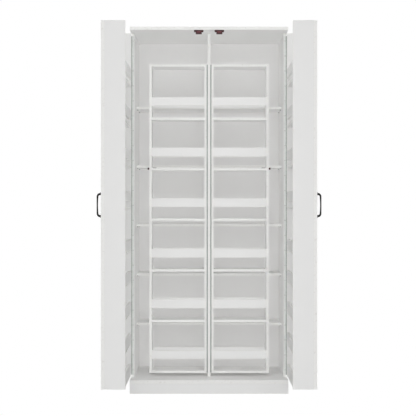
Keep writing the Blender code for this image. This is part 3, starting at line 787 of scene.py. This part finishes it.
def rack(name, sign):
    """A rack's hinge side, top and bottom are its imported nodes. The free side, the shelves and the
    rails share one node, and are laid out inside its box."""
    body = f"{name}_rack"
    for part in ("hinge_side", "top", "bottom"):
        node_board(f"{body}_{part}", body)
    low, high = (np.array(corner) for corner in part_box(f"{body}_shelf_frame"))
    outer = max(abs(low[0]), abs(high[0]))
    inner = max(abs(corner.x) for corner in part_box(f"{body}_hinge_side")) + GAP
    x = mirrored(sign, outer - BOARD, outer)
    free_low, free_high = (x[0], low[1], low[2]), (x[1], high[1], high[2])
    board(f"{body}_free_side", free_low, free_high, body, (f"{body}_shelf_frame",))
    x = mirrored(sign, inner, outer - BOARD - GAP)
    front, rear = low[1] + RAIL_SETBACK, high[1] - RAIL_SETBACK
    centres = [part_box(f"{body}_bottom")[0].z + BOARD / 2]
    centres += [RACK_FIRST_SHELF + RACK_SHELF_PITCH * count for count in range(RACK_SHELVES)]
    for number, centre in enumerate(centres):
        if number:
            shelf_low = (x[0], front, centre - BOARD / 2)
            board(f"{body}_shelf_{number}", shelf_low, (x[1], rear, centre + BOARD / 2), body)
        rail = centre + RACK_RAIL_LIFT
        for place, y in (("front", front), ("rear", rear - BOARD)):
            rail_high = (x[1], y + BOARD, rail + RACK_RAIL_HEIGHT)
            board(f"{body}_{place}_rail_{number}", (x[0], y, rail), rail_high, body)


# Piano hinges


def knuckle(bottom, top):
    """(points, faces) of a tube whose section is carried round as a ring of four corners, so that
    its grid closes on itself both ways."""
    angles = np.arange(KNUCKLE_SIDES) * math.tau / KNUCKLE_SIDES
    section = ((BARREL_RADIUS, bottom), (BARREL_RADIUS, top), (BORE_RADIUS, top), (BORE_RADIUS, bottom))
    grid = np.stack([circle(radius, height, angles) for radius, height in section])
    number = np.arange(4 * KNUCKLE_SIDES).reshape(4, KNUCKLE_SIDES)
    ahead = np.roll(number, -1, axis=1)
    above, above_ahead = np.roll(number, -1, axis=0), np.roll(ahead, -1, axis=0)
    quads = np.stack([number, ahead, above_ahead, above], axis=-1).reshape(-1, 4)
    return grid.reshape(-1, 3), quads.tolist()


def hinge_leaf(node, joint, away, beside, offset, turn, body):
    """A leaf with every other knuckle of its hinge. The leaf runs from the axis in the direction
    away, and its middle plane lies the offset from the axis in the direction beside. Turn is 0 for
    the leaf with both end knuckles."""
    low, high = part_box(node)
    pin_low, pin_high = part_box(node.replace("moving_leaf", "pin").replace("fixed_leaf", "pin"))
    axis = np.array(JOINTS[joint]["pos_m"]) * (1, 1, 0)
    ends = (pin_low.z, pin_high.z)
    count = 2 * round((ends[1] - ends[0]) / KNUCKLE_PITCH / 2) + 1
    cuts = np.linspace(*ends, count + 1)
    middle = axis + beside * offset
    half = LEAF_THICKNESS / 2

    def strip(near, far, bottom, top):
        start = middle + away * near - beside * half + Z * bottom
        end = middle + away * far + beside * half + Z * top
        return shell(eased_box(start, end, LEAF_EASING)[0])

    patches = [strip(LEAF_NOTCH, LEAF_REACH, low.z, high.z)]
    for first, last in list(zip(cuts[:-1], cuts[1:]))[turn::2]:
        bottom, top = first + KNUCKLE_CLEARANCE, last - KNUCKLE_CLEARANCE
        points, faces = knuckle(bottom, top)
        # Ink 1 is the knuckles' darker steel, painted shade for the hinge gap.
        patches.append((points + axis, faces, [1] * len(faces)))
        patches.append(strip(LEAF_NECK, LEAF_NOTCH + NECK_OVERLAP, bottom, top))
    piece(f"{node}_knuckled", joined(patches), (ZINC, KNUCKLE_STEEL_PAINTED_SHADE), body, (node,))
    number = round((ends[1] - ends[0]) / HINGE_SCREW_PITCH)
    heights = np.linspace(ends[0] + HINGE_SCREW_MARGIN, ends[1] - HINGE_SCREW_MARGIN, number)
    outer_face = middle - beside * half + away * HINGE_SCREW_LINE
    places = [outer_face + Z * height for height in heights]
    patch = heads(driven_head(*HINGE_SCREW), places, -beside)
    piece(f"{node}_screws", patch, (STEEL,), body)


def hinges(name, sign):
    """The leaves of a door's hinge stand square to each other, and those of a rack's lie face to
    face."""
    outwards = sign * X
    label, joint = f"{name}_door_hinge", f"{name}_door_swing"
    offset = DOOR_LEAF_OFFSET
    hinge_leaf(f"{label}_fixed_leaf", joint, -outwards, Y, offset, 0, "cabinet")
    hinge_leaf(f"{label}_moving_leaf", joint, -Y, outwards, offset, 1, f"{name}_door")
    label, joint = f"{name}_rack_hinge", f"{name}_rack_swing"
    offset = RACK_LEAF_OFFSET
    hinge_leaf(f"{label}_fixed_leaf", joint, Y, -outwards, offset, 0, "cabinet")
    hinge_leaf(f"{label}_moving_leaf", joint, Y, outwards, offset, 1, f"{name}_rack")
    for node in (f"{name}_door_hinge_pin", f"{name}_rack_hinge_pin"):
        recoat(node, STEEL)


def recoat(node, material):
    """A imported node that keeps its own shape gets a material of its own."""
    mesh = frame["nodes"][node].data
    mesh.materials.clear()
    mesh.materials.append(material)


# Magnetic catches


def softened(node, radius, material, body):
    """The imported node's shape with rounded edges: its loose triangles are merged and made flat faces
    again, then bevelled."""
    mesh = frame["nodes"][node].data.copy()
    work = bmesh.new()
    work.from_mesh(mesh)
    bmesh.ops.remove_doubles(work, verts=work.verts, dist=0.01 * MM)
    bmesh.ops.dissolve_limit(work, angle_limit=0.02, verts=work.verts, edges=work.edges)
    work.to_mesh(mesh)
    work.free()
    mesh.materials.clear()
    mesh.materials.append(material)
    mesh.shade_smooth()
    obj = bpy.data.objects.new(f"{node}_moulding", mesh)
    bpy.context.scene.collection.objects.link(obj)
    bevel = obj.modifiers.new("rounded edges", "BEVEL")
    bevel.width = radius
    bevel.segments = 3
    bevel.limit_method = "ANGLE"
    bevel.harden_normals = True
    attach(obj, body)
    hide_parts(node)


def magnet(node, body):
    """A fired block between two pole plates, which stand half a millimetre further out at the front
    and at either end."""
    low, high = (np.array(corner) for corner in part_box(node))
    rise = (high[2] - low[2] - POLE_PLATE) * Z  # from the lower plate to the upper
    inset = POLE_PLATE - BLOCK_OVERLAP
    block_low = low + (POLE_LEAD, POLE_LEAD, inset)
    block_high = high - (POLE_LEAD, 0, inset)
    patches = [shell(eased_box(low, high - rise, POLE_EASING)[0], 0)]
    patches.append(shell(eased_box(low + rise, high, POLE_EASING)[0], 0))
    patches.append(shell(eased_box(block_low, block_high, POLE_EASING)[0], 1))
    piece(f"{node}_poles", joined(patches), (BLUED, FERRITE), body, (node,))


def strike(node, facing, body):
    """A plate with rounded edges, held by one screw in its middle."""
    low, high = (np.array(corner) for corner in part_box(node))
    plate = shell(eased_box(low, high, STRIKE_EASING)[0])
    middle = (low + high) / 2 + facing * (high - low) / 2
    screw = heads(driven_head(*STRIKE_SCREW), [middle], facing)
    piece(f"{node}_plate", joined([plate, screw]), (STEEL,), body, (node,))


def catches(name, sign):
    """The two catches on one side of the cabinet, each with its screws and magnet, and the strikes
    that they pull on."""
    for kind in ("door", "rack"):
        label = f"{name}_{kind}"
        softened(f"{label}_catch", CATCH_EASING, CATCH_PLASTIC, "cabinet")
        low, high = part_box(f"{label}_catch")
        depth = (low.y + high.y) / 2
        ears = (low.x + EAR_CENTRE, high.x - EAR_CENTRE)
        places = [(x, depth, high.z - EAR_HEIGHT) for x in ears]
        patch = heads(driven_head(*CATCH_SCREW), places, -Z)
        piece(f"{label}_catch_screws", patch, (BLUED,), "cabinet")
        magnet(f"{label}_catch_magnet", f"{label}_magnet")
    strike(f"{name}_door_strike", -sign * X, f"{name}_door")
    strike(f"{name}_rack_strike", Y, f"{name}_rack")


# Stage


def backdrop(name, points, faces):
    """Part of a white surround that the camera sees and that neither lights nor shades the cabinet."""
    paper, _, shader, _ = start_material(f"white_{name}")
    shader.inputs["Base Color"].default_value = srgb("#000000")
    shader.inputs["Specular IOR Level"].default_value = 0.0
    shader.inputs["Emission Color"].default_value = srgb("#ffffff")
    shader.inputs["Emission Strength"].default_value = 1.0
    mesh = bpy.data.meshes.new(name)
    mesh.from_pydata(points, [], faces)
    mesh.materials.append(paper)
    obj = bpy.data.objects.new(name, mesh)
    bpy.context.scene.collection.objects.link(obj)
    for ray in ("diffuse", "glossy", "transmission", "volume_scatter", "shadow"):
        setattr(obj, f"visible_{ray}", False)


def surround():
    """A pale floor and, far behind everything, a dome: level rings of points on a sphere, from almost
    straight below to almost straight above."""
    half = 12.0
    below = -0.5 * MM
    corners = [(-half, -half, below), (half, -half, below), (half, half, below), (-half, half, below)]
    backdrop("floor", corners, [(0, 1, 2, 3)])
    radius = 25.0
    angles = np.arange(48) * math.tau / 48
    lifts = np.linspace(-0.9, 0.98, 16) * math.pi / 2
    rings = [circle(radius * math.cos(lift), radius * math.sin(lift), angles) for lift in lifts]
    points, faces, _ = shell(np.stack(rings))
    backdrop("dome", points.tolist(), faces)


def soft_light(name, elevation, turn, spread, strength, shadow=True):
    """Light from a large panel far off: elevation above the horizon and turn from straight in front,
    in degrees. Without a shadow it stands for light that has already gone round the room."""
    data = bpy.data.lights.new(name, "SUN")
    data.energy = strength
    data.angle = math.radians(spread)
    data.use_shadow = shadow
    data.cycles.use_multiple_importance_sampling = shadow
    lamp = bpy.data.objects.new(name, data)
    lamp.rotation_euler = (math.radians(90 - elevation), 0, math.radians(turn))
    bpy.context.scene.collection.objects.link(lamp)


def front_panel():
    """A soft box 2 m wide and 2.4 m high, 3 m in front of the cabinet: being near, it lights the
    doors' edges a little more than the racks behind them."""
    data = bpy.data.lights.new("panel_front", "AREA")
    data.shape = "RECTANGLE"
    data.size, data.size_y = 2.0, 2.4
    data.energy = 11.5
    lamp = bpy.data.objects.new("panel_front", data)
    lamp.location = (0.0, -3.0, 1.2)
    lamp.rotation_euler = (math.radians(90), 0, 0)
    lamp.visible_camera = False
    bpy.context.scene.collection.objects.link(lamp)


def lighting():
    """Soft panels in front, low and high, fill from either side and from the floor, panels that
    light the outside of the cabinet, and a pale ceiling over a dim floor."""
    front_panel()
    soft_light("panel_high", 45, 0, 60, 0.50)
    soft_light("panel_low", -40, 0, 60, 0.70)
    soft_light("fill_floor", -60, 0, 60, 0.36, shadow=False)
    for side, turn in (("left", -60), ("right", 60)):
        soft_light(f"fill_{side}", 0, turn, 60, 0.40, shadow=False)
    soft_light("panel_rear", 20, 180, 60, 1.3)
    for side, turn in (("left", -105), ("right", 105)):
        soft_light(f"panel_{side}", 15, turn, 40, 1.0)
    world = bpy.data.worlds.new("room")
    world.use_nodes = True
    tree = world.node_tree
    direction = add_node(tree, "TexCoord").outputs["Generated"]
    height = add_node(tree, "SeparateXYZ", inputs={"Vector": direction}).outputs["Z"]
    above = add_node(tree, "Math", {"operation": "GREATER_THAN"}, {0: height, 1: 0.0}).outputs["Value"]
    glow_inputs = {FACTOR: above, FIRST: (0.05, 0.05, 0.05, 1), SECOND: (0.46, 0.46, 0.46, 1)}
    glow = add_node(tree, "Mix", COLOURS, glow_inputs).outputs[MIXED]
    tree.links.new(glow, tree.nodes["Background"].inputs["Color"])
    bpy.context.scene.world = world
    bpy.context.scene.view_settings.view_transform = "Standard"


CAMERA_DISTANCE = 5.5  # in front of the cabinet's sides
CAMERA_HEIGHT = 0.936


def camera():
    """Level, square on to the cabinet, at half its height."""
    data = bpy.data.cameras.new("camera")
    data.sensor_width = 36.0
    data.lens = 92.7
    data.shift_x = -0.0025
    lens = bpy.data.objects.new("camera", data)
    side_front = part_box("left_side")[0].y
    lens.location = (0.0, side_front - CAMERA_DISTANCE, CAMERA_HEIGHT)
    lens.rotation_euler = (math.radians(90), 0, 0)
    bpy.context.scene.collection.objects.link(lens)
    bpy.context.scene.camera = lens


# The whole cabinet on its stage

surround()
lighting()
camera()
carcass()
back_sheet()
back_nails()
cover_caps()
shelf_pins()
for side_name, side_sign in SIDES:
    door(side_name, side_sign)
    handle(side_name, side_sign)
    rack(side_name, side_sign)
    hinges(side_name, side_sign)
    catches(side_name, side_sign)
